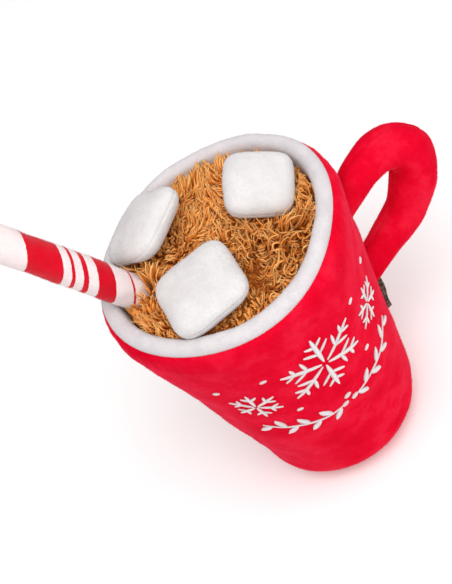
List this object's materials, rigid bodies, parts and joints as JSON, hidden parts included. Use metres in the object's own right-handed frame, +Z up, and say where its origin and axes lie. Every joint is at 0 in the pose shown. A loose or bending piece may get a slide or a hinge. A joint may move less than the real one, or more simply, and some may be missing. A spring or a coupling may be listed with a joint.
{
  "type": "plush toy mug of hot chocolate",
  "caption": "Stuffed toy mug of hot chocolate: tapered velour mug with padded loop handle, fleece rim, curly pile drink, pillow marshmallows and a leaning striped straw.",
  "frame": {"origin": "middle of the flat base, on the mug's axis", "axes": "+Z up along the mug's axis to its rim, +X towards the handle, -Y towards the embroidered front"},
  "size_m": [0.1654, 0.1017, 0.2171],
  "materials": {
    "red_velour": "short brushed velour nap, matt with a soft pale sheen at the edges",
    "white_fleece": "soft white fleece, matt, slightly fuzzy",
    "cocoa_pile": "curly plush pile in pointed locks with paler tips",
    "striped_plush": "white plush printed with slanted red stripes of several widths",
    "dark_ribbon": "dark woven ribbon, plain"
  },
  "bodies": {
    "root": {"mug_body": "red_velour", "handle": "red_velour", "rim": "white_fleece", "cocoa_pile": "cocoa_pile", "marshmallow_front": "white_fleece", "marshmallow_handle_side": "white_fleece", "marshmallow_straw_side": "white_fleece", "straw": "striped_plush", "side_tab": "dark_ribbon"}
  },
  "joints": []
}
